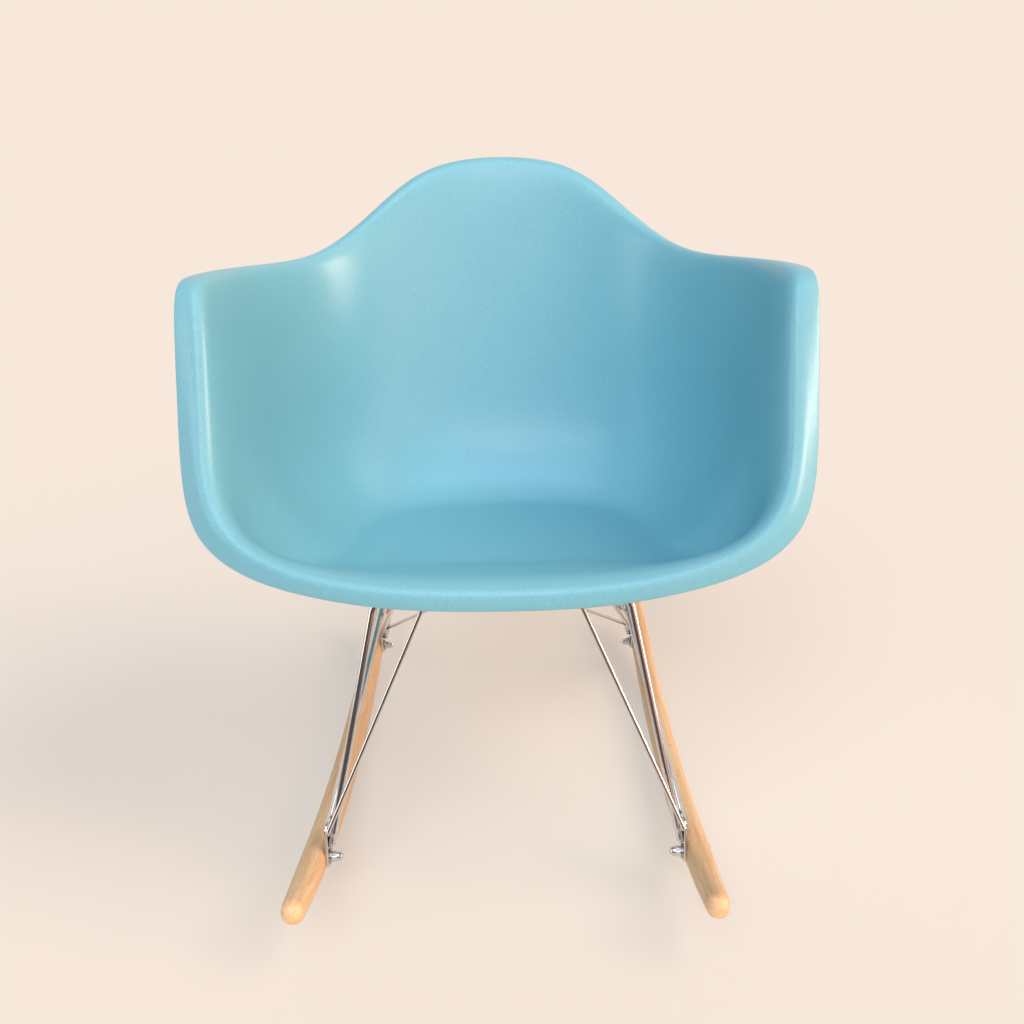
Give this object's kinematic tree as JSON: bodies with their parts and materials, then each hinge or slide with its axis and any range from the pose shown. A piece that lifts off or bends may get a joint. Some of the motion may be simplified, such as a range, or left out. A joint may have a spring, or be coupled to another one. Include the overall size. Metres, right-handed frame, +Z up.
{
  "type": "moulded plastic rocking chair",
  "caption": "Rocking armchair with a one-piece moulded bucket seat on a braced base of chromed rods, bolted to two curved wooden rockers.",
  "frame": {"origin": "on the floor, midway between the two rockers and midway between their front and rear tips", "axes": "+Z up, -Y towards the chair's front (the side that the picture shows), +X to the right as seen from the front"},
  "size_m": [0.619, 0.69, 0.7057],
  "materials": {
    "shell_plastic": "fine moulded grain, satin",
    "insert_brass": "machined",
    "pad_rubber": "matt",
    "beech": "clear lacquered beech",
    "plated_steel": "zinc plated",
    "chromed_steel": "polished chrome plate"
  },
  "bodies": {
    "root": {"bolt_washers": "plated_steel", "dome_nuts": "chromed_steel", "front_brace_left": "chromed_steel", "front_brace_right": "chromed_steel", "front_diagonal_left": "chromed_steel", "front_diagonal_right": "chromed_steel", "front_foot_plate_left": "chromed_steel", "front_foot_plate_right": "chromed_steel", "front_frame": "chromed_steel", "front_pad_left": "pad_rubber", "front_pad_right": "pad_rubber", "front_tab_left": "chromed_steel", "front_tab_right": "chromed_steel", "mount_inserts": "insert_brass", "mount_screws": "plated_steel", "mount_washers": "plated_steel", "rear_brace_left": "chromed_steel", "rear_brace_right": "chromed_steel", "rear_diagonal_left": "chromed_steel", "rear_diagonal_right": "chromed_steel", "rear_foot_plate_left": "chromed_steel", "rear_foot_plate_right": "chromed_steel", "rear_frame": "chromed_steel", "rear_pad_left": "pad_rubber", "rear_pad_right": "pad_rubber", "rear_tab_left": "chromed_steel", "rear_tab_right": "chromed_steel", "rocker_bolts": "chromed_steel", "rocker_left": "beech", "rocker_right": "beech", "seat_shell": "shell_plastic"}
  },
  "joints": []
}
